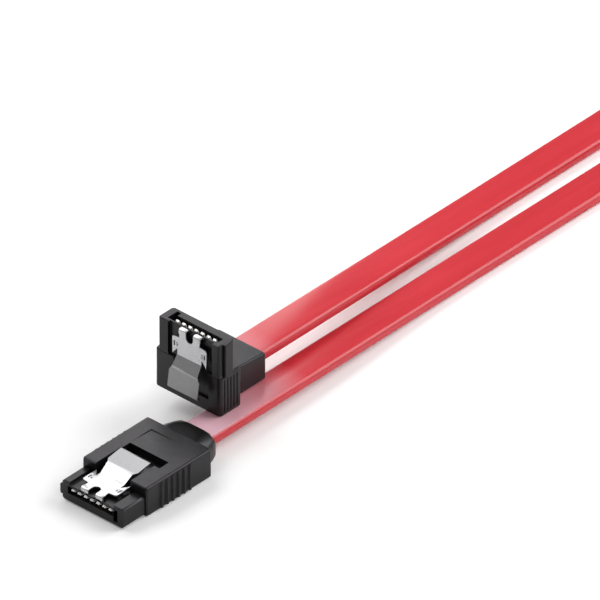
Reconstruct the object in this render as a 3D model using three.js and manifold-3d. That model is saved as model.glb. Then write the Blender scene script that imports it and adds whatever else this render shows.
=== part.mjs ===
// Flat seven-contact data cable with a straight and a right-angle latching plug.
// Units are millimetres, +Z is up and the part lies on the plane Z = 0.
// The origin is under the straight plug, and +X runs along its cable.
import * as THREE from 'three';
import { mergeVertices } from 'three/addons/utils/BufferGeometryUtils.js';
import Module from 'manifold-3d';

const wasm = await Module();
wasm.setup();

// Contacts and the L-shaped slot that takes the socket's tongue
const contactCount = 7;
const contactPitch = 1.27;
const contactWidth = 0.6;
const contactThickness = 0.2;
const contactSetback = 0.2;
const contactShift = 0.4;
const contactDrop = 0.6;
const tailLevel = 1.75;
const slotWidth = 10.15;
const slotHeight = 1.35;
const slotFloor = 1.35;
const slotDepth = 4.6;
const slotShift = 0.1;
const legWidth = 0.8;
const legDrop = 0.85;

// Housing: the rigid nose and the neck that the overmould grips
const noseWidth = 12.5;
const noseHeight = 3.5;
const noseEdge = 0.3;
const railWidth = 0.5;
const railBottom = 0.75;
const railHeight = 1.8;
const straightNose = 4.85;
const angledNose = 6.0;
const neckInset = 0.5;
const neckTop = 2.55;
const neckLength = 2.8;
const shelfLength = 1.4;
const shelfDrop = 0.25;
const pocketWall = 0.25;
const shoulderWidth = 1.45;
const shoulderExtra = 0.6;
const lipNotch = 0.5;

// Latch: one bent sheet
const sheetThickness = 0.25;
const latchShift = 0.38;
const plateGap = 0.5;
const prongSpan = 4.4;
const prongNotch = 1.5;
const prongLength = 1.9;
const prongCurl = 0.6;
const prongSetback = 0.1;
const wingSpan = 7.0;
const wingEnd = 5.0;
const neckSpan = 4.9;
const plateLength = 4.85;
const rampLength = 1.65;
const rampRise = 1.1;
const tabLength = 3.6;
const tabRise = 0.55;
const tabSpan = 6.1;
const tabRim = 0.4;
const dimpleRadius = 0.34;
const dimpleHeight = 0.16;
const slitLength = 0.9;
const slitWidth = 0.24;
const pressAngle = 5;

// Wires inside the plugs
const wireRadius = 0.42;
const coreRadius = 0.16;
const pairSpacing = 1.0;
const pairCentre = 1.55;
const outerDrain = 2.75;
const wireBend = 1.4;

// Cable jacket
const jacketWidth = 6.2;
const jacketThickness = 1.9;
const jacketEdge = 0.35;

// Straight plug overmould
const standHeight = 0.25;
const bodyWidth = 13.2;
const bodyLength = 14.7;
const bodyHeight = 5.2;
const bodyBevel = 0.5;
const bodyShoulder = 0.35;
const bodyEdge = 0.3;
const bootStartWidth = 10.2;
const bootEndWidth = 7.8;
const bootLength = 4.1;
const bootDrop = 0.35;
const bootEndHeight = 4.3;
const recessMargin = 0.5;
const recessClear = 0.25;
const crossSlotWidth = 7.95;
const crossSlotLength = 2.1;
const crossSlotShift = -0.28;
const crossSlotDeep = 0.2;
const panelAcross = 3.75;
const panelEnd = 12.4;
const panelRun = 4.5;
const panelSpread = 6.0;
const panelDepth = 0.14;
const gripRibCount = 6;
const gripRibPitch = 1.27;
const gripRibStart = 3.3;
const gripRibWidth = 0.62;
const gripRibProud = 0.28;

// Right-angle plug overmould
const elbowWidth = 13.4;
const elbowDepth = 4.85;
const elbowHeight = 7.0;
const elbowFront = 0.15;
const elbowEdge = 0.45;
const elbowShift = -0.35;
const exitWidth = 9.73;
const exitLength = 7.6;
const exitHeight = 5.3;
const exitSlope = 0.5;
const exitLift = 0.1;
const elbowCableLevel = 2.45;
const elbowRecess = 0.4;
const fineGrooveCount = 5;
const fineGroovePitch = 0.7;
const fineGrooveDepth = 0.12;
const fineGrooveWidth = 0.3;

// Inner moulds
const mouldWidth = 10.4;
const mouldFloor = 0.5;
const straightMouldLength = 6.2;
const straightMouldTop = 3.0;
const angledMouldTop = 2.72;
const angledMouldFloor = -1.2;
const angledMouldBase = 1.0;

// Clearances
const seam = 0.05;
const cutReach = 9;
const fitGap = 0.1;
const cableGap = 0.2;
const jacketGap = 0.3;

// Where the plugs lie: the right-angle plug stands on the straight plug's ribbon
const straightFront = -7.0;
const angledFace = 19.65;
const angledAcross = 5.92;
const angledFoot = 3.55;
const jacketStart = 5.0;
const straightCableLevel = 2.55;
const jacketReach = 2.2;
const jacketEnd = angledFace + jacketReach;

// Tie round the hank
const tieCentre = 151.0;
const tieAcross = 6.37;
const tieLength = 9.0;
const tieWall = 0.35;
const tieCorner = 0.9;
const tieSpan = 4.9;
const tieOpening = 6.65;

// Centre line of the cable from the straight plug to the right-angle plug
const cableRoute = [
  [jacketStart, 0, straightCableLevel],
  [26, 0.01, 2.54],
  [40, 0.31, 2.23],
  [60, 1.21, 1.32],
  [74, 1.52, 1.01],
  [112, 1.52, 1.01],
  [119, 1.55, 1.09],
  [123, 1.75, 1.56],
  [127, 2.25, 2.33],
  [132, 3.15, 3.13],
  [138, 4.3, 3.46],
  [146.5, 5.17, 3.65],
  [155.5, 5.17, 3.65],
  [164, 3.9, 3.5],
  [179, -4.3, 3.2],
  [199.1, -11.28, 3.15],
  [207.9, -12.01, 3.15],
  [216, -8.66, 3.15],
  [221.6, -2.07, 3.15],
  [223.6, 6.37, 3.15],
  [221.6, 14.81, 3.15],
  [216, 21.4, 3.15],
  [207.9, 24.75, 3.15],
  [199.1, 24.02, 3.15],
  [179, 17.04, 3.2],
  [164, 8.84, 3.5],
  [155.5, 7.57, 3.65],
  [146.5, 7.57, 3.65],
  [138, 8.44, 3.46],
  [132, 9.59, 3.13],
  [127, 10.49, 2.33],
  [123, 10.99, 1.56],
  [119, 11.19, 1.09],
  [112, 11.22, 1.01],
  [92, 11.08, 1.09],
  [76, 10.2, 1.99],
  [60, 8.5, 3.73],
  [45, 6.96, 5.3],
  [30, 6.27, 6],
  [jacketEnd, angledAcross - elbowShift, angledFoot + elbowCableLevel],
];
const rollStart = 118;
const rollEnd = 143;
const jacketSteps = 76;

const noseHalf = noseWidth / 2;
const slotTop = slotFloor + slotHeight;
const pocketFloor = slotTop + pocketWall;
const plateLevel = pocketFloor + plateGap + sheetThickness / 2;
const shelfTop = tailLevel - shelfDrop;
const wireLevel = tailLevel + contactThickness / 2 + seam + coreRadius;
const passageHalf = contactThickness / 2 + fitGap;

function material(color, roughness, metalness) {
  return new THREE.MeshStandardMaterial({ color, roughness, metalness });
}

function namedMesh(name, geometry, color, roughness, metalness) {
  const mesh = new THREE.Mesh(geometry, material(color, roughness, metalness));
  mesh.name = name;
  return mesh;
}

// Closed geometry to a solid, and back
function solid(geometry) {
  const bare = geometry.clone();
  bare.deleteAttribute('normal');
  bare.deleteAttribute('uv');
  const merged = mergeVertices(bare, 1e-5);
  return new wasm.Manifold(new wasm.Mesh({
    numProp: 3,
    vertProperties: new Float32Array(merged.attributes.position.array),
    triVerts: new Uint32Array(merged.index.array),
  }));
}

function geometryOf(shape) {
  const mesh = shape.getMesh();
  const geometry = new THREE.BufferGeometry();
  geometry.setAttribute('position', new THREE.BufferAttribute(new Float32Array(mesh.vertProperties), 3));
  geometry.setIndex(new THREE.BufferAttribute(new Uint32Array(mesh.triVerts), 1));
  geometry.computeVertexNormals();
  return geometry;
}

function block(low, high) {
  const size = high.map((value, axis) => value - low[axis]);
  const geometry = new THREE.BoxGeometry(...size);
  geometry.translate(...low.map((value, axis) => value + size[axis] / 2));
  return solid(geometry);
}

// Extrudes a plane outline: 'x' reads it as (y, z), 'y' as (x, z) and 'z' as (x, y)
function extruded(axis, outline, from, to) {
  const shape = new THREE.Shape(outline.map(([u, v]) => new THREE.Vector2(u, v)));
  const geometry = new THREE.ExtrudeGeometry(shape, { depth: to - from, bevelEnabled: false });
  geometry.translate(0, 0, axis === 'y' ? -to : from);
  const turned = new THREE.Matrix4();
  if (axis === 'x') {
    turned.makeBasis(new THREE.Vector3(0, 1, 0), new THREE.Vector3(0, 0, 1), new THREE.Vector3(1, 0, 0));
  }
  if (axis === 'y') {
    turned.makeBasis(new THREE.Vector3(1, 0, 0), new THREE.Vector3(0, 0, 1), new THREE.Vector3(0, -1, 0));
  }
  geometry.applyMatrix4(turned);
  return solid(geometry);
}

// Skins a row of convex rings that have the same number of points
function loft(rings) {
  const count = rings[0].length;
  const last = count * (rings.length - 1);
  const index = [];
  for (let ring = 0; ring < rings.length - 1; ring += 1) {
    for (let step = 0; step < count; step += 1) {
      const near = ring * count + step;
      const next = ring * count + ((step + 1) % count);
      index.push(near, next, next + count, near, next + count, near + count);
    }
  }
  for (let step = 1; step < count - 1; step += 1) {
    index.push(0, step + 1, step, last, last + step, last + step + 1);
  }
  const geometry = new THREE.BufferGeometry();
  const positions = rings.flat(2);
  geometry.setAttribute('position', new THREE.BufferAttribute(new Float32Array(positions), 3));
  geometry.setIndex(index);
  return geometry;
}

// A rounded rectangle across X, with its own corners below and above
function sectionRing(x, section, inset = 0) {
  const { centre = 0, halfWidth, bottom, top, lower, upper } = section;
  const corners = [
    [1, bottom + inset, lower, -90],
    [1, top - inset, upper, 0],
    [-1, top - inset, upper, 90],
    [-1, bottom + inset, lower, 180],
  ];
  const steps = 4;
  return corners.flatMap(([side, level, [across, rise], start]) => {
    const inward = level === bottom + inset ? 1 : -1;
    const points = [];
    for (let step = 0; step <= steps; step += 1) {
      const angle = THREE.MathUtils.degToRad(start + (90 * step) / steps);
      points.push([
        x,
        centre + side * (halfWidth - inset - across) + across * Math.cos(angle),
        level + inward * rise + rise * Math.sin(angle),
      ]);
    }
    return points;
  });
}

// Outline of a strip that follows a polyline at an even thickness
function stripOutline(line, thickness) {
  const normals = line.slice(1).map(([u, v], step) => {
    const run = new THREE.Vector2(u - line[step][0], v - line[step][1]).normalize();
    return new THREE.Vector2(-run.y, run.x);
  });
  const offsets = line.map((point, step) => {
    const before = normals[Math.max(step - 1, 0)];
    const after = normals[Math.min(step, normals.length - 1)];
    const mitre = before.clone().add(after).normalize();
    return mitre.multiplyScalar(thickness / 2 / mitre.dot(after));
  });
  const upper = line.map(([u, v], step) => [u + offsets[step].x, v + offsets[step].y]);
  const lower = line.map(([u, v], step) => [u - offsets[step].x, v - offsets[step].y]);
  return [...lower, ...upper.reverse()];
}

function circleShape(radius) {
  const points = [];
  for (let step = 0; step < 8; step += 1) {
    const angle = (Math.PI * (2 * step + 1)) / 8;
    points.push(new THREE.Vector2(radius * Math.cos(angle), radius * Math.sin(angle)));
  }
  return new THREE.Shape(points);
}

function tube(points, radius, steps) {
  const path = new THREE.CatmullRomCurve3(points.map((point) => new THREE.Vector3(...point)));
  const options = { steps, bevelEnabled: false, extrudePath: path };
  return solid(new THREE.ExtrudeGeometry(circleShape(radius), options));
}

function contactAcross(index) {
  return contactShift + (index - (contactCount - 1) / 2) * contactPitch;
}

// Every plug is modelled with X running back from its mating face,
// Y across it and Z towards the latch.

function contactSolid(index, tailEnd) {
  const across = contactAcross(index);
  const high = slotTop - contactDrop;
  const line = [
    [contactSetback + 0.15, high + 0.2],
    [contactSetback, high],
    [contactSetback + 0.35, high - 0.2],
    [contactSetback + 1.2, high - 0.25],
    [slotDepth - 1.6, high + 0.1],
    [slotDepth - 1.0, high + 0.1],
    [slotDepth - 0.25, tailLevel],
    [tailEnd, tailLevel],
  ];
  const half = contactWidth / 2;
  return extruded('y', stripOutline(line, contactThickness), across - half, across + half);
}

function housingSolid(noseLength) {
  const noseEnd = noseLength - seam;
  const neckEnd = noseLength + neckLength;
  const shelfStart = neckEnd - shelfLength;
  const outline = [
    [-noseHalf + noseEdge, 0],
    [noseHalf - noseEdge, 0],
    [noseHalf, noseEdge],
    [noseHalf, noseHeight - noseEdge],
    [noseHalf - noseEdge, noseHeight],
    [-noseHalf + noseEdge, noseHeight],
    [-noseHalf, noseHeight - noseEdge],
    [-noseHalf, noseEdge],
  ];
  const neckHalf = noseHalf - neckInset;
  let housing = extruded('x', outline, 0, noseEnd);
  housing = housing.add(railSolid(noseEnd));
  housing = housing.add(block([noseEnd - 0.5, -neckHalf, neckInset], [neckEnd, neckHalf, neckTop]));
  housing = housing.subtract(block([shelfStart, -noseHalf, shelfTop], [neckEnd + 1, noseHalf, noseHeight]));

  const slotRight = slotShift - slotWidth / 2;
  const slotLeft = slotShift + slotWidth / 2;
  housing = housing.subtract(block([-1, slotRight, slotFloor], [slotDepth, slotLeft, slotTop]));
  housing = housing.subtract(
    block([-1, slotRight, slotFloor - legDrop], [slotDepth, slotRight + legWidth, slotTop]));

  for (let index = 0; index < contactCount; index += 1) {
    const across = contactAcross(index);
    const half = contactWidth / 2 + fitGap;
    housing = housing.subtract(block(
      [slotDepth - 0.5, across - half, tailLevel - passageHalf],
      [shelfStart + 0.5, across + half, tailLevel + passageHalf]));
  }

  const pocketRight = -noseHalf + shoulderWidth + shoulderExtra;
  const pocketLeft = noseHalf - shoulderWidth;
  housing = housing.subtract(block([-1, pocketRight, pocketFloor], [noseEnd + 1, pocketLeft, noseHeight + 1]));
  return housing.subtract(lipNotches());
}

function railSolid(noseEnd) {
  const outline = [
    [noseHalf - noseEdge, railBottom],
    [noseHalf + railWidth - 0.15, railBottom],
    [noseHalf + railWidth, railBottom + 0.15],
    [noseHalf + railWidth, railBottom + railHeight - 0.15],
    [noseHalf + railWidth - 0.15, railBottom + railHeight],
    [noseHalf - noseEdge, railBottom + railHeight],
  ];
  return extruded('x', outline, 0, noseEnd);
}

// The two places in the front lip that the latch's prongs hook over
function lipNotches() {
  const middle = (prongSpan + prongNotch) / 4;
  const half = (prongSpan - prongNotch) / 4 + fitGap;
  const notches = [-1, 1].map((side) => {
    const across = latchShift + side * middle;
    return block([-1, across - half, slotTop - 0.1], [lipNotch, across + half, noseHeight]);
  });
  return notches[0].add(notches[1]);
}

// The sheet is its side profile cut to its plan outline
function latchSolid() {
  const lip = prongSetback + sheetThickness / 2;
  const tabEnd = plateLength + rampLength + tabLength;
  const rampTop = plateLevel + rampRise;
  const tabTop = rampTop + tabRise;
  const line = [
    [lip, plateLevel - prongCurl],
    [lip, plateLevel - 0.24],
    [lip + 0.07, plateLevel - 0.07],
    [lip + 0.24, plateLevel],
    [plateLength - 0.1, plateLevel],
    [plateLength + 0.1, plateLevel + 0.08],
    [plateLength + rampLength - 0.1, rampTop - 0.04],
    [plateLength + rampLength + 0.15, rampTop + 0.05],
    [tabEnd - 0.15, tabTop],
    [tabEnd + 0.02, tabTop - 0.06],
    [tabEnd + 0.1, tabTop - tabRim],
  ];
  const sheet = extruded(
    'y', stripOutline(line, sheetThickness), latchShift - wingSpan, latchShift + wingSpan);
  let latch = sheet.intersect(extruded('z', latchPlan(), 0, cutReach));
  for (const side of [-1, 1]) {
    latch = latch.subtract(wingSlit(side)).add(wingDimple(side));
  }
  return latch;
}

function latchPlan() {
  const rampEnd = plateLength + rampLength;
  const rear = rampEnd + tabLength + 1;
  const right = [
    [-1, prongSpan / 2],
    [0.9, prongSpan / 2],
    [1.15, prongSpan / 2 - 0.12],
    [prongLength - 0.2, prongSpan / 2 - 0.12],
    [prongLength - 0.1, wingSpan / 2 - 0.35],
    [prongLength + 0.1, wingSpan / 2],
    [prongLength + 1.0, wingSpan / 2],
    [wingEnd, wingSpan / 2 - 0.05],
    [wingEnd - 0.95, neckSpan / 2 + 0.2],
    [wingEnd - 1.1, neckSpan / 2],
    [plateLength, neckSpan / 2],
    [rampEnd, neckSpan / 2 + 0.12],
    [rampEnd + 0.7, tabSpan / 2],
    [rear, tabSpan / 2],
  ];
  const notch = [];
  for (let step = 0; step <= 6; step += 1) {
    const angle = Math.PI / 2 - (Math.PI * step) / 6;
    const radius = prongNotch / 2;
    notch.push([prongLength - radius + radius * Math.cos(angle), -radius * Math.sin(angle)]);
  }
  const left = right.map(([x, y]) => [x, -y]).reverse();
  const outline = [
    ...left,
    [-1, -prongNotch / 2],
    ...notch.map(([x, y]) => [x, y]),
    [-1, prongNotch / 2],
    ...right,
  ];
  return outline.map(([x, y]) => [x, y + latchShift]).reverse();
}

function wingSlit(side) {
  const across = latchShift + side * (wingSpan / 2 - 0.42);
  const start = prongLength + 0.75;
  return block(
    [start, across - slitWidth / 2, plateLevel - 1],
    [start + slitLength, across + slitWidth / 2, plateLevel + 1]);
}

function wingDimple(side) {
  const geometry = new THREE.SphereGeometry(dimpleRadius, 12, 8);
  geometry.rotateX(Math.PI / 2);
  geometry.scale(1.25, 0.8, (dimpleHeight + sheetThickness / 4) / dimpleRadius);
  const across = latchShift + side * (wingSpan / 2 - 0.92);
  const ball = solid(geometry).translate(
    [prongLength + 0.75 + slitLength / 2, across, plateLevel + sheetThickness / 4]);
  return ball.subtract(block([-cutReach, -cutReach, -cutReach], [cutReach, cutReach, plateLevel]));
}

// Wires: each path is given from its solder tail to the jacket
function wireEnds() {
  const first = pairCentre - pairSpacing / 2;
  const second = pairCentre + pairSpacing / 2;
  return [-outerDrain, -second, -first, 0, first, second, outerDrain];
}

function isDrain(index) {
  return index % 3 === 0;
}

function straightWirePath(index, start) {
  const from = contactAcross(index);
  const to = wireEnds()[index];
  const finish = jacketStart - straightFront + straightNose - jacketGap;
  const mouldEnd = straightNose + neckLength + fitGap + straightMouldLength;
  const cableLevel = straightCableLevel - standHeight;
  return [
    [start, from, wireLevel],
    [start + 1.0, from, wireLevel],
    [(start + mouldEnd) / 2, (from + to) / 2, wireLevel + 0.5 * (cableLevel - wireLevel)],
    [mouldEnd - 1.0, to, cableLevel],
    [finish, to, cableLevel],
  ];
}

function angledWirePath(index, start) {
  const from = contactAcross(index);
  const to = elbowShift + wireEnds()[index];
  const across = (share) => from + share * (to - from);
  const run = angledNose + cableDepth();
  const turn = run - wireBend;
  const finish = angledFace - jacketEnd + jacketGap;
  return [
    [start, from, wireLevel],
    [turn, across(0.1), wireLevel],
    [turn + wireBend * Math.SQRT1_2, across(0.35), wireLevel - wireBend * (1 - Math.SQRT1_2)],
    [run, across(0.7), wireLevel - wireBend],
    [run, to, -0.6],
    [run, to, finish],
  ];
}

// Depth of the cable's centre line below the top of the right-angle body
function cableDepth() {
  return elbowHeight - elbowCableLevel;
}

// The stripped core lies on the contact's tail, and the insulation starts behind it
function wireSolid(index, noseLength, path, extra = 0) {
  const coreStart = noseLength + neckLength - shelfLength + 0.4;
  const coverStart = noseLength + neckLength + 0.15;
  if (isDrain(index)) {
    return tube([[coreStart, contactAcross(index), wireLevel], ...path(index, coverStart)],
      coreRadius + extra, 14);
  }
  const across = contactAcross(index);
  const core = tube([[coreStart, across, wireLevel], [coverStart + 0.1, across, wireLevel]],
    coreRadius + extra, 1);
  return core.add(tube(path(index, coverStart), wireRadius + extra, 12));
}

// The inner mould grips the tails, cores and wires behind the housing
function innerMould(noseLength, path, rear) {
  const neckEnd = noseLength + neckLength;
  const half = mouldWidth / 2;
  let mould = block(rear.low, rear.high).add(block(
    [neckEnd - shelfLength + fitGap, -half + 0.3, tailLevel],
    [rear.low[0] + 0.5, half - 0.3, Math.min(neckTop, rear.high[2])]));
  for (let index = 0; index < contactCount; index += 1) {
    const across = contactAcross(index);
    const hold = contactWidth / 2 + fitGap;
    mould = mould.subtract(block(
      [neckEnd - shelfLength - 1, across - hold, tailLevel - 1],
      [neckEnd + fitGap / 2, across + hold, tailLevel + passageHalf]));
    mould = mould.subtract(wireSolid(index, noseLength, path, fitGap));
  }
  return mould;
}

function straightMouldBox() {
  const start = straightNose + neckLength + fitGap;
  return {
    low: [start, -mouldWidth / 2, mouldFloor],
    high: [start + straightMouldLength, mouldWidth / 2, straightMouldTop],
  };
}

function angledMouldBox() {
  const start = angledNose + neckLength + fitGap;
  return {
    low: [start, elbowShift - mouldWidth / 2, angledMouldFloor],
    high: [angledNose + elbowHeight - angledMouldBase, elbowShift + mouldWidth / 2, angledMouldTop],
  };
}

// The hollow that an overmould leaves round the neck and the inner mould
function overmouldHollow(noseLength, rear) {
  const neckHalf = noseHalf - neckInset + fitGap;
  const neckEnd = noseLength + neckLength + fitGap;
  const neck = block(
    [noseLength - 1, -neckHalf, neckInset - fitGap], [neckEnd + 0.2, neckHalf, neckTop + fitGap]);
  return neck.add(block(
    rear.low.map((value, axis) => value - (axis === 0 ? 0.2 : fitGap)),
    rear.high.map((value) => value + fitGap)));
}

function straightBody() {
  const bottom = -standHeight;
  const section = {
    halfWidth: bodyWidth / 2,
    bottom,
    top: bottom + bodyHeight,
    lower: [0.4, 0.4],
    upper: [bodyBevel, bodyShoulder],
  };
  const front = straightNose;
  const rear = front + bodyLength;
  const body = solid(loft([
    sectionRing(front, section, bodyEdge * 0.6),
    sectionRing(front + bodyEdge, section),
    sectionRing(rear - bodyEdge, section),
    sectionRing(rear, section, bodyEdge * 0.8),
  ]));
  return body.add(boot(rear));
}

function boot(bodyRear) {
  const bottom = -standHeight;
  const shares = [-0.45, 0, 0.3, 0.6, 0.85, 1];
  const rings = shares.map((share) => {
    const ease = Math.max(share, 0) ** 1.6;
    const halfWidth = THREE.MathUtils.lerp(bootStartWidth, bootEndWidth, ease) / 2;
    const top = bottom + THREE.MathUtils.lerp(bodyHeight - bootDrop, bootEndHeight, ease);
    const section = {
      halfWidth,
      bottom: bottom + 0.15 + 0.35 * ease,
      top,
      lower: [0.8, 0.8],
      upper: [2.9 - 0.8 * ease, 2.0 - 0.5 * ease],
    };
    return sectionRing(bodyRear + share * bootLength, section, share === 1 ? 0.3 : 0);
  });
  return solid(loft(rings));
}

function gripRibs() {
  const low = -standHeight + 0.3;
  const high = -standHeight + bodyHeight - bodyShoulder - 0.1;
  const half = gripRibWidth / 2;
  const reach = bodyWidth / 2;
  let ribs;
  for (let index = 0; index < gripRibCount; index += 1) {
    const along = straightNose + gripRibStart + index * gripRibPitch;
    const outline = [
      [along - half, reach - 0.3],
      [along + half, reach - 0.3],
      [along + half, reach],
      [along + half * 0.5, reach + gripRibProud],
      [along - half * 0.5, reach + gripRibProud],
      [along - half, reach],
    ];
    const left = extruded('z', outline, low, high);
    const pair = left.add(left.mirror([0, 1, 0]));
    ribs = ribs ? ribs.add(pair) : pair;
  }
  return ribs;
}

// Room for the latch: a deep mouth under its fold, a shallower bed under its tab,
// and the cross slot behind it
function latchRoom() {
  const half = tabSpan / 2 + recessMargin;
  const tabEnd = plateLength + rampLength + tabLength;
  const press = Math.sin(THREE.MathUtils.degToRad(pressAngle));
  const bedLevel = plateLevel + rampRise + tabRise - tabRim - tabEnd * press - recessClear;
  const bedStart = plateLength + 1.5;
  const high = bodyHeight + 2;
  const mouth = block([0, latchShift - half, pocketFloor], [bedStart, latchShift + half, high]);
  const bed = block([bedStart - 0.5, latchShift - half, bedLevel], [tabEnd + 0.4, latchShift + half, high]);
  const crossHalf = crossSlotWidth / 2;
  const cross = block(
    [tabEnd + 0.2, crossSlotShift - crossHalf, bedLevel - crossSlotDeep],
    [tabEnd + 0.2 + crossSlotLength, crossSlotShift + crossHalf, high]);
  return mouth.add(bed).add(cross);
}

// A shallow panel that fades out towards the front and to the right
function panelCut() {
  const top = -standHeight + bodyHeight;
  const end = straightNose + panelEnd;
  const wedge = (from, to) => [
    [from, top],
    [to, top - panelDepth],
    [to, top + 1],
    [from, top + 1],
  ];
  const forward = extruded('y', wedge(end - panelRun, end), panelAcross - panelSpread, panelAcross);
  const sideways = extruded('x', wedge(panelAcross - panelSpread, panelAcross), end - panelRun, end);
  return forward.intersect(sideways);
}

function straightOvermould() {
  const rear = straightNose + bodyLength + bootLength;
  const level = straightCableLevel - standHeight;
  const box = straightMouldBox();
  const cable = block(
    [box.high[0], -jacketWidth / 2 - cableGap, level - jacketThickness / 2 - cableGap],
    [rear + 1, jacketWidth / 2 + cableGap, level + jacketThickness / 2 + cableGap]);
  return straightBody()
    .add(gripRibs())
    .subtract(panelCut())
    .subtract(latchRoom())
    .subtract(overmouldHollow(straightNose, box))
    .subtract(cable);
}

function elbowBody() {
  const section = {
    centre: elbowShift,
    halfWidth: elbowWidth / 2,
    bottom: noseHeight - elbowFront - elbowDepth,
    top: noseHeight - elbowFront,
    lower: [elbowEdge, elbowEdge],
    upper: [elbowEdge * 1.4, elbowEdge * 1.4],
  };
  const end = angledNose + elbowHeight;
  return solid(loft([
    sectionRing(angledNose, section, 0.12),
    sectionRing(angledNose + 0.2, section),
    sectionRing(end - 0.15, section),
    sectionRing(end, section, 0.12),
  ]));
}

// Modelled along X with its foot up, then turned to leave the body's back
function exitBlock() {
  const foot = angledNose + elbowHeight - exitLift;
  const back = -(noseHeight - elbowFront - elbowDepth);
  const ringAt = (along, inset) => {
    const share = Math.max(along - back, 0) / exitLength;
    return sectionRing(along, {
      centre: elbowShift,
      halfWidth: exitWidth / 2,
      bottom: foot - exitHeight + exitSlope * share,
      top: foot,
      lower: [0.35, 0.35],
      upper: [0.3, 0.3],
    }, inset);
  };
  const rings = [
    ringAt(back - 0.6, 0),
    ringAt(back + exitLength - 0.25, 0),
    ringAt(back + exitLength, 0.18),
  ];
  const geometry = loft(rings);
  geometry.rotateY(Math.PI / 2);
  return solid(geometry);
}

// Fine upright grooves on both sides
function fineGrooves() {
  const rear = noseHeight - elbowFront - elbowDepth;
  const start = (2 * rear + elbowDepth - (fineGrooveCount - 1) * fineGroovePitch) / 2;
  const reach = elbowWidth / 2;
  let grooves;
  for (let index = 0; index < fineGrooveCount; index += 1) {
    const level = start + index * fineGroovePitch;
    for (const side of [-1, 1]) {
      const near = elbowShift + side * (reach - fineGrooveDepth);
      const far = elbowShift + side * (reach + 1);
      const groove = block(
        [angledNose + 0.6, Math.min(near, far), level - fineGrooveWidth / 2],
        [angledNose + elbowHeight - 0.5, Math.max(near, far), level + fineGrooveWidth / 2]);
      grooves = grooves ? grooves.add(groove) : groove;
    }
  }
  return grooves;
}

function angledOvermould() {
  const box = angledMouldBox();
  const level = angledNose + cableDepth();
  const back = noseHeight - elbowFront - elbowDepth;
  const cable = block(
    [level - jacketThickness / 2 - cableGap, elbowShift - jacketWidth / 2 - cableGap, back - exitLength - 1],
    [level + jacketThickness / 2 + cableGap, elbowShift + jacketWidth / 2 + cableGap, box.low[2] + 0.3]);
  const face = noseHeight - elbowFront;
  const half = tabSpan / 2 + recessMargin;
  const tabEnd = plateLength + rampLength + tabLength;
  const bed = block(
    [angledNose - 1, latchShift - half, face - elbowRecess], [tabEnd + 0.6, latchShift + half, face + 1]);
  return elbowBody()
    .add(exitBlock())
    .subtract(fineGrooves())
    .subtract(bed)
    .subtract(overmouldHollow(angledNose, box))
    .subtract(cable);
}

// Puts the pieces of one plug in a group
function plug(prefix, noseLength, path, overmould, mouldBox) {
  const group = new THREE.Group();
  const neckEnd = noseLength + neckLength;
  const add = (name, shape, color, roughness, metalness) => {
    group.add(namedMesh(`${prefix}_${name}`, geometryOf(shape), color, roughness, metalness));
  };
  add('overmould', overmould, 0x2b2a2d, 0.5, 0);
  add('housing', housingSolid(noseLength), 0x1f1e21, 0.42, 0);
  add('inner_mould', innerMould(noseLength, path, mouldBox), 0x3c3c40, 0.6, 0);
  add('latch', latchSolid(), 0xd7d8dc, 0.28, 1);
  for (let index = 0; index < contactCount; index += 1) {
    add(`contact_${index + 1}`, contactSolid(index, neckEnd - fitGap), 0xe6dfd0, 0.3, 1);
    const kind = isDrain(index) ? `ground_wire_${index / 3 + 1}` : `signal_wire_${index - Math.floor(index / 3)}`;
    const shade = isDrain(index) ? 0xb9bcc2 : 0xe9e6de;
    add(kind, wireSolid(index, noseLength, path), shade, 0.5, isDrain(index) ? 1 : 0);
  }
  return group;
}

function straightPlug() {
  const group = plug(
    'straight', straightNose, straightWirePath, straightOvermould(), straightMouldBox());
  group.position.set(straightFront - straightNose, 0, standHeight);
  return group;
}

// The right-angle plug stands with its mating face up and its latch towards -X
function angledPlug() {
  const group = plug('angled', angledNose, angledWirePath, angledOvermould(), angledMouldBox());
  const turned = new THREE.Matrix4().makeBasis(
    new THREE.Vector3(0, 0, -1), new THREE.Vector3(0, -1, 0), new THREE.Vector3(-1, 0, 0));
  group.quaternion.setFromRotationMatrix(turned);
  group.position.set(angledFace, angledAcross, angledFoot + angledNose + elbowHeight);
  return group;
}

// The cable lies flat at its plugs and stands on edge in the hank,
// so its roll is set by how far along X it is
class RibbonPath extends THREE.CatmullRomCurve3 {
  computeFrenetFrames(segments) {
    const tangents = [];
    const normals = [];
    const binormals = [];
    const up = new THREE.Vector3(0, 0, 1);
    for (let step = 0; step <= segments; step += 1) {
      const share = step / segments;
      const tangent = this.getTangentAt(share);
      const roll = (Math.PI / 2) * THREE.MathUtils.smoothstep(this.getPointAt(share).x, rollStart, rollEnd);
      const level = up.clone().cross(tangent).normalize();
      const raised = tangent.clone().cross(level);
      const wide = level.multiplyScalar(Math.cos(roll)).add(raised.multiplyScalar(Math.sin(roll)));
      tangents.push(tangent);
      binormals.push(wide);
      normals.push(wide.clone().cross(tangent).normalize());
    }
    return { tangents, normals, binormals };
  }
}

function cableJacket() {
  const thick = jacketThickness / 2;
  const wide = jacketWidth / 2;
  const section = new THREE.Shape([
    [thick, -wide + jacketEdge],
    [thick, wide - jacketEdge],
    [thick - jacketEdge, wide],
    [-thick + jacketEdge, wide],
    [-thick, wide - jacketEdge],
    [-thick, -wide + jacketEdge],
    [-thick + jacketEdge, -wide],
    [thick - jacketEdge, -wide],
  ].map(([u, v]) => new THREE.Vector2(u, v)));
  const path = new RibbonPath(cableRoute.map((point) => new THREE.Vector3(...point)));
  path.arcLengthDivisions = 2000;
  const options = { steps: jacketSteps, bevelEnabled: false, extrudePath: path };
  const jacket = solid(new THREE.ExtrudeGeometry(section, options));
  return namedMesh('cable_jacket', geometryOf(jacket), 0xd83a44, 0.35, 0);
}

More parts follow.
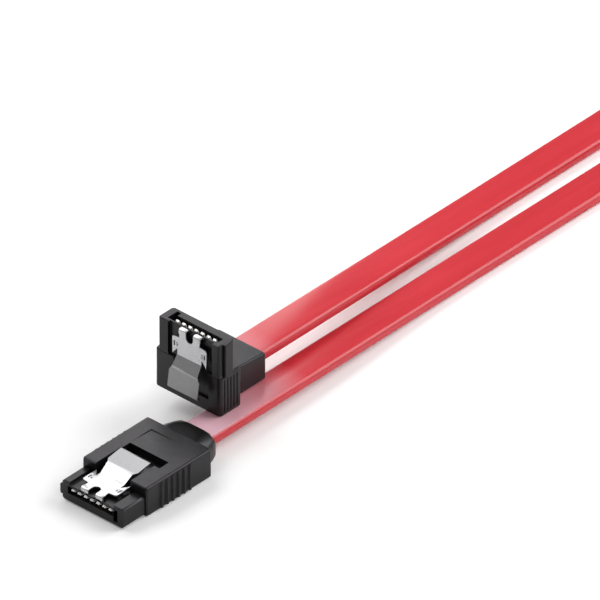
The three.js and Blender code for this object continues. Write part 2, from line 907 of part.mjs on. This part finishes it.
function roundedOutline(across, low, high, radius) {
  const corners = [
    [1, high, 0],
    [-1, high, 90],
    [-1, low, 180],
    [1, low, 270],
  ];
  return corners.flatMap(([side, level, start]) => {
    const inward = level === high ? -1 : 1;
    return [0, 1, 2, 3, 4].map((step) => {
      const angle = THREE.MathUtils.degToRad(start + 22.5 * step);
      return [
        side * (across - radius) + radius * Math.cos(angle),
        level + inward * radius + radius * Math.sin(angle),
      ];
    });
  });
}

function cableTie() {
  const from = tieCentre - tieLength / 2;
  const to = tieCentre + tieLength / 2;
  const half = tieSpan / 2;
  const outer = roundedOutline(half + tieWall, 0, tieOpening + 2 * tieWall, tieCorner + tieWall);
  const inner = roundedOutline(half, tieWall, tieWall + tieOpening, tieCorner);
  const band = extruded('x', outer, from, to).subtract(extruded('x', inner, from - 1, to + 1));
  const geometry = geometryOf(band.translate([0, tieAcross, 0]));
  return namedMesh('cable_tie', geometry, 0x28282b, 0.6, 0);
}

const cable = new THREE.Group();
cable.add(straightPlug(), angledPlug(), cableJacket(), cableTie());

export default cable;
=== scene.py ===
"""Looks of a flat red data cable with two latching plugs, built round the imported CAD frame.

Lengths are in metres, apart from those whose name or heading says millimetres.
"""
import math

import bpy
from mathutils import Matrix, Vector


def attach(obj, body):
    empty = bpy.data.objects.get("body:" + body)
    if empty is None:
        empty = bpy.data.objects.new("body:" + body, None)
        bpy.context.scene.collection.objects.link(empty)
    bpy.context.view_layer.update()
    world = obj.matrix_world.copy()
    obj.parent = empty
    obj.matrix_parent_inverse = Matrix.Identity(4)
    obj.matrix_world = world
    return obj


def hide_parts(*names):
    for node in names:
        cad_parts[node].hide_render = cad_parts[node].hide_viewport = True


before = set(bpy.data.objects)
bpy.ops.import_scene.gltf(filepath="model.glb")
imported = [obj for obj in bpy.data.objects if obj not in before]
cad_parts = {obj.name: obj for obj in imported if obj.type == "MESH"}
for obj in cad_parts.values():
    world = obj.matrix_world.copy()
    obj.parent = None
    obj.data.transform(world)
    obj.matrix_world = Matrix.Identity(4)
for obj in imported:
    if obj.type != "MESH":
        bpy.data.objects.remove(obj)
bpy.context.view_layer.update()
MM = 0.001

# Camera: almost parallel projection as in the photograph, 6.6 pixels a millimetre at the plugs
PHOTO_WIDTH = 600
PIXELS_PER_MM = 6.53
VIEW_TURN = math.radians(47.9)
VIEW_RISE = math.radians(34.4)
LENS_MM = 1600.0
SENSOR_MM = 36.0
AIM_MM = (51.62, 15.12, 0.2)
CLIP_START = 0.1
CLIP_END = 50.0

# Lamps: place, target, size and watts
LAMPS = {
    "key": ((0.0, 0.85, 1.0), (0.03, 0.0, 0.0), (1.0, 0.8), 7.3),
    "top": ((-0.29, 0.55, 0.78), (-0.005, 0.0, 0.005), (0.45, 0.45), 0.42),
    "rim": ((0.38, -0.21, 0.30), (0.05, 0.0, 0.0), (0.4, 0.4), 2.1),
    "fill": ((-0.36, -0.95, 0.8), (0.03, 0.0, 0.0), (0.8, 0.8), 2.8),
}

# Glare lamp: stands where the plugs' flat tops mirror the camera
GLARE_TARGET = (0.006, 0.007, 0.004)
GLARE_DISTANCE = 0.13
GLARE_SIZE = (0.055, 0.14)
GLARE_WATTS = 0.054

# Floor and world: plain light, with the white that the camera and the gloss see
FLOOR_REACH = 3.0
FLOOR_DROP = 0.00002
FLOOR_COLOUR = (0.92, 0.92, 0.92, 1)
FLOOR_GLOW = 0.12
FLOOR_MIRRORED = 0.25
WORLD_LEVEL = 0.20
WORLD_MIRRORED = 0.1

# Cable jacket in millimetres
JACKET_WIDTH = 6.2
JACKET_THICKNESS = 1.9
JACKET_CORNER = 0.7
CORNER_STEPS = 5
RING_GAP = 1.5

# Cable's centre line in millimetres, the same as the solid jacket's
SPAN_STEPS = 60
ROUTE_MM = [
    (5, 0, 2.55),
    (26, 0.01, 2.54),
    (40, 0.31, 2.23),
    (60, 1.21, 1.32),
    (74, 1.52, 1.01),
    (112, 1.52, 1.01),
    (119, 1.55, 1.09),
    (123, 1.75, 1.56),
    (127, 2.25, 2.33),
    (132, 3.15, 3.13),
    (138, 4.3, 3.46),
    (146.5, 5.17, 3.65),
    (155.5, 5.17, 3.65),
    (164, 3.9, 3.5),
    (179, -4.3, 3.2),
    (199.1, -11.28, 3.15),
    (207.9, -12.01, 3.15),
    (216, -8.66, 3.15),
    (221.6, -2.07, 3.15),
    (223.6, 6.37, 3.15),
    (221.6, 14.81, 3.15),
    (216, 21.4, 3.15),
    (207.9, 24.75, 3.15),
    (199.1, 24.02, 3.15),
    (179, 17.04, 3.2),
    (164, 8.84, 3.5),
    (155.5, 7.57, 3.65),
    (146.5, 7.57, 3.65),
    (138, 8.44, 3.46),
    (132, 9.59, 3.13),
    (127, 10.49, 2.33),
    (123, 10.99, 1.56),
    (119, 11.19, 1.09),
    (112, 11.22, 1.01),
    (92, 11.08, 1.09),
    (76, 10.2, 1.99),
    (60, 8.5, 3.73),
    (45, 6.96, 5.3),
    (30, 6.27, 6),
    (21.85, 6.27, 6),
]

# Where the ribbon turns on its edge, along X in millimetres
ROLL_START = 118.0
ROLL_END = 143.0

# Painted glare: a pale painted sheen on the jacket beside the plugs, along X in millimetres
PAINTED_GLARE_START = 14.0
PAINTED_GLARE_END = 34.0
PAINTED_GLARE_SHARE = 0.92
PAINTED_GLARE_COLOUR = (0.78, 0.50, 0.58, 1)

# Edges of the carried-over nodes, widths in millimetres
OVERMOULD_EDGE = 0.12
HOUSING_EDGE = 0.06
TIE_EDGE = 0.05
LATCH_EDGE = 0.04
CONTACT_EDGE = 0.03
EDGE_SEGMENTS = 2
EDGE_ANGLE = math.radians(28)
WELD_DISTANCE = 1e-6
FLAT_WEIGHT = 80

# Where each latch's press tab, with its painted darker reflection, starts in millimetres: axis,
# place and side of the tab
STRAIGHT_TAB = ("X", -5.25, 1)
ANGLED_TAB = ("Z", 9.95, -1)
TAB_SHADE_FADE = 0.25


# Geometry helpers
def mesh_object(name, vertices, faces):
    mesh = bpy.data.meshes.new(name)
    mesh.from_pydata(vertices, [], faces)
    mesh.update()
    thing = bpy.data.objects.new(name, mesh)
    bpy.context.scene.collection.objects.link(thing)
    return thing


def smoothstep(value, low, high):
    share = min(max((value - low) / (high - low), 0.0), 1.0)
    return share * share * (3 - 2 * share)


def curve_point(points, position):
    """Point on the centripetal Catmull-Rom curve through the points."""
    last = len(points) - 1
    index = min(int(position), last - 1)
    share = position - index
    p1, p2 = points[index], points[index + 1]
    p0 = points[index - 1] if index > 0 else p1 * 2 - p2
    p3 = points[index + 2] if index + 2 <= last else p2 * 2 - p1
    steps = [max((b - a).length ** 0.5, 1e-6) for a, b in ((p0, p1), (p1, p2), (p2, p3))]
    start = (p1 - p0) / steps[0] - (p2 - p0) / (steps[0] + steps[1]) + (p2 - p1) / steps[1]
    end = (p2 - p1) / steps[1] - (p3 - p1) / (steps[1] + steps[2]) + (p3 - p2) / steps[2]
    start *= steps[1]
    end *= steps[1]
    square, cube = share * share, share ** 3
    return (
        p1 * (2 * cube - 3 * square + 1)
        + start * (cube - 2 * square + share)
        + p2 * (3 * square - 2 * cube)
        + end * (cube - square)
    )


def even_route(spacing):
    """Points on the cable's centre line, evenly spaced, in millimetres."""
    points = [Vector(point) for point in ROUTE_MM]
    fine = []
    for step in range((len(points) - 1) * SPAN_STEPS + 1):
        fine.append(curve_point(points, step / SPAN_STEPS))
    lengths = [0.0]
    for near, far in zip(fine, fine[1:]):
        lengths.append(lengths[-1] + (far - near).length)
    count = round(lengths[-1] / spacing)
    even = []
    seat = 0
    for step in range(count + 1):
        wanted = lengths[-1] * step / count
        while seat < len(lengths) - 2 and lengths[seat + 1] < wanted:
            seat += 1
        span = lengths[seat + 1] - lengths[seat]
        even.append(fine[seat].lerp(fine[seat + 1], (wanted - lengths[seat]) / span))
    return even


def jacket_section():
    """Rounded rectangle as pairs: across the width and through the thickness."""
    half_w = JACKET_WIDTH / 2 - JACKET_CORNER
    half_t = JACKET_THICKNESS / 2 - JACKET_CORNER
    section = []
    for side_w, side_t, start in ((1, 1, 0), (-1, 1, 90), (-1, -1, 180), (1, -1, 270)):
        for step in range(CORNER_STEPS + 1):
            angle = math.radians(start + 90 * step / CORNER_STEPS)
            section.append((
                side_w * half_w + JACKET_CORNER * math.cos(angle),
                side_t * half_t + JACKET_CORNER * math.sin(angle),
            ))
    return section


def ribbon_frame(route, index):
    """Centre of a ring, with its ways across the width and through the thickness."""
    point = route[index]
    tangent = (route[min(index + 1, len(route) - 1)] - route[max(index - 1, 0)]).normalized()
    level = Vector((0, 0, 1)).cross(tangent).normalized()
    raised = tangent.cross(level)
    roll = math.pi / 2 * smoothstep(point.x, ROLL_START, ROLL_END)
    wide = level * math.cos(roll) + raised * math.sin(roll)
    return point, wide, tangent.cross(wide)


def cable_jacket(route):
    section = jacket_section()
    count = len(section)
    vertices = []
    for index in range(len(route)):
        point, wide, thick = ribbon_frame(route, index)
        for across, through in section:
            vertices.append((point + wide * across + thick * through) * MM)
    faces = []
    for ring in range(len(route) - 1):
        for step in range(count):
            near = ring * count + step
            next_one = ring * count + (step + 1) % count
            faces.append((near, next_one, next_one + count, near + count))
    last = count * (len(route) - 1)
    faces.append(tuple(reversed(range(count))))
    faces.append(tuple(range(last, last + count)))
    jacket = mesh_object("flat_jacket", vertices, faces)
    jacket.data.shade_smooth()
    jacket.data.set_sharp_from_angle(angle=math.radians(40))
    return jacket


# Material helpers
class Surface:
    """A new material with a Principled shader and short calls for its nodes."""

    def __init__(self, name):
        self.material = bpy.data.materials.new(name)
        self.material.use_nodes = True
        self.nodes = self.material.node_tree.nodes
        self.links = self.material.node_tree.links
        self.shader = self.nodes["Principled BSDF"]

    def set(self, **values):
        for key, value in values.items():
            self.shader.inputs[key.replace("_", " ")].default_value = value

    def add(self, kind, **values):
        node = self.nodes.new(kind)
        for key, value in values.items():
            setattr(node, key, value)
        return node

    def link(self, source, target):
        self.links.new(source, target)

    def feed(self, name, source):
        self.link(source, self.shader.inputs[name])

    def component(self, coordinates, axis):
        texture = self.add("ShaderNodeTexCoord")
        split = self.add("ShaderNodeSeparateXYZ")
        self.link(texture.outputs[coordinates], split.inputs["Vector"])
        return split.outputs[axis]

    def noise(self, scale, detail=4.0, rough=0.6, stretch=(1, 1, 1)):
        texture = self.add("ShaderNodeTexCoord")
        mapping = self.add("ShaderNodeMapping")
        mapping.inputs["Scale"].default_value = stretch
        self.link(texture.outputs["Object"], mapping.inputs["Vector"])
        node = self.add("ShaderNodeTexNoise")
        node.inputs["Scale"].default_value = scale
        node.inputs["Detail"].default_value = detail
        node.inputs["Roughness"].default_value = rough
        self.link(mapping.outputs["Vector"], node.inputs["Vector"])
        return node.outputs["Fac"]

    def ramp(self, source, low, high, start=0.3, end=0.7):
        """Low up to start of the source, high from its end, and even between."""
        node = self.add("ShaderNodeMapRange")
        node.inputs["From Min"].default_value = start
        node.inputs["From Max"].default_value = end
        node.inputs["To Min"].default_value = low
        node.inputs["To Max"].default_value = high
        self.link(source, node.inputs["Value"])
        return node.outputs["Result"]

    def colours(self, source, dark, light):
        node = self.add("ShaderNodeValToRGB")
        ends = ((0.3, dark), (0.7, light))
        for element, (position, colour) in zip(node.color_ramp.elements, ends):
            element.position = position
            element.color = (*colour, 1)
        self.link(source, node.inputs["Fac"])
        return node.outputs["Color"]

    def mix(self, share, first, second):
        """Blend from the first colour, a node's, to the second, a node's or a plain one."""
        node = self.add("ShaderNodeMix", data_type="RGBA")
        self.link(share, node.inputs["Factor"])
        self.link(first, node.inputs["A"])
        if isinstance(second, tuple):
            node.inputs["B"].default_value = second
        else:
            self.link(second, node.inputs["B"])
        return node.outputs["Result"]

    def bump(self, source, height):
        node = self.add("ShaderNodeBump")
        node.inputs["Distance"].default_value = height
        self.link(source, node.inputs["Height"])
        self.feed("Normal", node.outputs["Normal"])


# Materials
def moulded_black(name, tone, rough, grain_height):
    surface = Surface(name)
    cloud = surface.noise(scale=260.0, detail=3.0)
    dark = (tone * 0.8, tone * 0.8, tone * 0.8)
    light = (tone * 1.15, tone * 1.1, tone * 1.2)
    surface.feed("Base Color", surface.colours(cloud, dark, light))
    patches = surface.noise(scale=900.0, detail=5.0)
    surface.feed("Roughness", surface.ramp(patches, rough - 0.05, rough + 0.05))
    surface.bump(surface.noise(scale=5200.0), grain_height)
    surface.set(Specular_IOR_Level=0.3, Specular_Tint=(0.99, 0.93, 1.0, 1))
    return surface.material


def latch_steel(name, tab):
    """Brushed steel whose press tab is painted darker, a painted darker reflection."""
    axis, tab_start, tab_side = tab
    surface = Surface(name)
    grain = surface.noise(scale=900.0, detail=6.0, rough=0.65, stretch=(1, 14, 1))
    bright = surface.colours(grain, dark=(0.47, 0.47, 0.48), light=(0.54, 0.54, 0.55))
    # Painted shade: a darker copy of the steel colour on the tab stands in for a darker
    # reflection
    tab_painted_shade = surface.colours(grain, dark=(0.22, 0.22, 0.225), light=(0.27, 0.27, 0.275))
    place = surface.component("Object", axis)
    edge = tab_start * MM
    fade = tab_side * TAB_SHADE_FADE * MM
    share = surface.ramp(place, 0.0, 1.0, start=edge - fade, end=edge + fade)
    surface.feed("Base Color", surface.mix(share, bright, tab_painted_shade))
    surface.feed("Roughness", surface.ramp(grain, 0.26, 0.34))
    surface.bump(grain, 0.000002)
    surface.set(Metallic=1.0)
    return surface.material


def contact_plating():
    surface = Surface("contact_plating")
    grain = surface.noise(scale=1500.0)
    plating = surface.colours(grain, dark=(0.97, 0.95, 0.90), light=(1.0, 0.99, 0.97))
    surface.feed("Base Color", plating)
    surface.feed("Roughness", surface.ramp(grain, 0.24, 0.34))
    surface.bump(grain, 0.000003)
    surface.set(Metallic=0.3)
    return surface.material


def red_jacket():
    """Glossy red with a painted pale glare, a painted sheen, on the faces that look up, beside
    the plugs.
    """
    surface = Surface("red_jacket")
    streak = surface.noise(scale=420.0, stretch=(0.12, 1, 1))
    red = surface.colours(streak, dark=(0.545, 0.026, 0.036), light=(0.60, 0.034, 0.047))
    # Painted glare: the faces that look up turn pale near the plugs, standing in for a lamp's
    # sheen
    place = surface.component("Object", "X")
    near = surface.ramp(place, PAINTED_GLARE_SHARE, 0.0, start=PAINTED_GLARE_START * MM, end=PAINTED_GLARE_END * MM)
    facing = surface.component("Normal", "Z")
    glare_on_tops = surface.ramp(facing, 0.0, 1.0, start=0.80, end=0.98)
    share = surface.add("ShaderNodeMath", operation="MULTIPLY")
    surface.link(near, share.inputs[0])
    surface.link(glare_on_tops, share.inputs[1])
    surface.feed("Base Color", surface.mix(share.outputs[0], red, PAINTED_GLARE_COLOUR))
    surface.feed("Roughness", surface.ramp(streak, 0.20, 0.26))
    ripple = surface.noise(scale=2600.0, detail=3.0, rough=0.5, stretch=(0.2, 1, 1))
    surface.bump(ripple, 0.000003)
    surface.set(Specular_IOR_Level=0.42)
    return surface.material


def wire_cover():
    surface = Surface("wire_cover")
    cloud = surface.noise(scale=1200.0, detail=3.0)
    white = surface.colours(cloud, dark=(0.78, 0.77, 0.73), light=(0.86, 0.85, 0.82))
    surface.feed("Base Color", white)
    surface.bump(cloud, 0.000004)
    surface.set(Roughness=0.4)
    return surface.material


def tinned_copper():
    surface = Surface("tinned_copper")
    grain = surface.noise(scale=2400.0, stretch=(0.2, 1, 1))
    tin = surface.colours(grain, dark=(0.62, 0.62, 0.63), light=(0.74, 0.74, 0.75))
    surface.feed("Base Color", tin)
    surface.bump(grain, 0.000006)
    surface.set(Metallic=1.0, Roughness=0.35)
    return surface.material


# Finishing of the carried-over nodes
def dress(node, finish, edge=0.0):
    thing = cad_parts[node]
    thing.data.materials.clear()
    thing.data.materials.append(finish)
    thing.data.shade_smooth()
    weld = thing.modifiers.new("weld", "WELD")
    weld.merge_threshold = WELD_DISTANCE
    if edge:
        bevel = thing.modifiers.new("edges", "BEVEL")
        bevel.width = edge * MM
        bevel.segments = EDGE_SEGMENTS
        bevel.limit_method = "ANGLE"
        bevel.angle_limit = EDGE_ANGLE
        bevel.use_clamp_overlap = True
        bevel.harden_normals = True
    flat = thing.modifiers.new("flat_faces", "WEIGHTED_NORMAL")
    flat.weight = FLAT_WEIGHT
    flat.keep_sharp = True


def dress_plug(prefix, finishes):
    dress(prefix + "_overmould", finishes["overmould"], OVERMOULD_EDGE)
    dress(prefix + "_housing", finishes["housing"], HOUSING_EDGE)
    dress(prefix + "_inner_mould", finishes["inner"])
    dress(prefix + "_latch", finishes[prefix + "_latch"], LATCH_EDGE)
    for number in range(1, 8):
        dress(f"{prefix}_contact_{number}", finishes["contact"], CONTACT_EDGE)
    for number in range(1, 5):
        dress(f"{prefix}_signal_wire_{number}", finishes["wire"])
    for number in range(1, 4):
        dress(f"{prefix}_ground_wire_{number}", finishes["ground"])


# Camera, lamps, floor and world
def view_direction(rise):
    """The camera's way across the floor, tilted up by rise."""
    level = math.cos(rise)
    return Vector((math.sin(VIEW_TURN) * level, math.cos(VIEW_TURN) * level, math.sin(rise)))


def add_camera():
    data = bpy.data.cameras.new("camera")
    data.lens = LENS_MM
    data.sensor_width = SENSOR_MM
    data.clip_start = CLIP_START
    data.clip_end = CLIP_END
    camera = bpy.data.objects.new("camera", data)
    bpy.context.scene.collection.objects.link(camera)
    distance = PHOTO_WIDTH / PIXELS_PER_MM * LENS_MM / SENSOR_MM * MM
    forward = view_direction(-VIEW_RISE)
    camera.location = Vector(AIM_MM) * MM - forward * distance
    camera.rotation_euler = forward.to_track_quat("-Z", "Y").to_euler()
    bpy.context.scene.camera = camera


def area_light(name, place, target, size, watts):
    data = bpy.data.lights.new(name, "AREA")
    data.shape = "RECTANGLE"
    data.size, data.size_y = size
    data.energy = watts
    light = bpy.data.objects.new(name, data)
    bpy.context.scene.collection.objects.link(light)
    light.location = place
    aim = Vector(target) - Vector(place)
    light.rotation_euler = aim.to_track_quat("-Z", "Y").to_euler()
    light.visible_camera = False


def add_lights():
    mirror = view_direction(VIEW_RISE)
    glare_place = Vector(GLARE_TARGET) + mirror * GLARE_DISTANCE
    area_light("glare", glare_place, GLARE_TARGET, GLARE_SIZE, GLARE_WATTS)
    for name, (place, target, size, watts) in LAMPS.items():
        area_light(name, place, target, size, watts)


def seen_directly(tree, mirrored):
    """1 for what the camera sees itself or through glass, and mirrored for what gloss shows."""
    path = tree.nodes.new("ShaderNodeLightPath")
    glossy = tree.nodes.new("ShaderNodeMath")
    glossy.operation = "MULTIPLY"
    glossy.inputs[1].default_value = mirrored
    tree.links.new(path.outputs["Is Glossy Ray"], glossy.inputs[0])
    total = glossy.outputs[0]
    for ray in ("Is Camera Ray", "Is Transmission Ray"):
        most = tree.nodes.new("ShaderNodeMath")
        most.operation = "MAXIMUM"
        tree.links.new(path.outputs[ray], most.inputs[0])
        tree.links.new(total, most.inputs[1])
        total = most.outputs[0]
    return total


def add_floor():
    low, high = -FLOOR_REACH, FLOOR_REACH
    corners = [(low, low, 0), (high, low, 0), (high, high, 0), (low, high, 0)]
    floor = mesh_object("floor", corners, [(0, 1, 2, 3)])
    floor.location.z = -FLOOR_DROP
    surface = Surface("floor")
    surface.set(Base_Color=FLOOR_COLOUR, Roughness=0.9, Specular_IOR_Level=0.0)
    surface.set(Emission_Color=(1, 1, 1, 1))
    seen = seen_directly(surface.material.node_tree, FLOOR_MIRRORED)
    glow = surface.ramp(seen, 0.0, FLOOR_GLOW, start=0.0, end=1.0)
    surface.feed("Emission Strength", glow)
    floor.data.materials.append(surface.material)


def add_world():
    world = bpy.data.worlds.new("studio")
    bpy.context.scene.world = world
    world.use_nodes = True
    tree = world.node_tree
    background = tree.nodes["Background"]
    background.inputs["Color"].default_value = (1, 1, 1, 1)
    level = tree.nodes.new("ShaderNodeMapRange")
    level.inputs["To Min"].default_value = WORLD_LEVEL
    level.inputs["To Max"].default_value = 1.0
    tree.links.new(seen_directly(tree, WORLD_MIRRORED), level.inputs["Value"])
    tree.links.new(level.outputs["Result"], background.inputs["Strength"])


add_camera()
add_world()
add_lights()
add_floor()

route = even_route(RING_GAP)
jacket = cable_jacket(route)
jacket.data.materials.append(red_jacket())
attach(jacket, "root")
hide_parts("cable_jacket")

FINISHES = {
    "overmould": moulded_black("overmould_black", tone=0.007, rough=0.32, grain_height=0.000006),
    "housing": moulded_black("housing_black", tone=0.006, rough=0.32, grain_height=0.000005),
    "inner": moulded_black("inner_mould_black", tone=0.04, rough=0.6, grain_height=0.00001),
    "tie": moulded_black("tie_black", tone=0.02, rough=0.5, grain_height=0.00001),
    "straight_latch": latch_steel("straight_latch_steel", STRAIGHT_TAB),
    "angled_latch": latch_steel("angled_latch_steel", ANGLED_TAB),
    "contact": contact_plating(),
    "wire": wire_cover(),
    "ground": tinned_copper(),
}
for plug in ("straight", "angled"):
    dress_plug(plug, FINISHES)
dress("cable_tie", FINISHES["tie"], TIE_EDGE)

bpy.context.scene.view_settings.view_transform = "Standard"
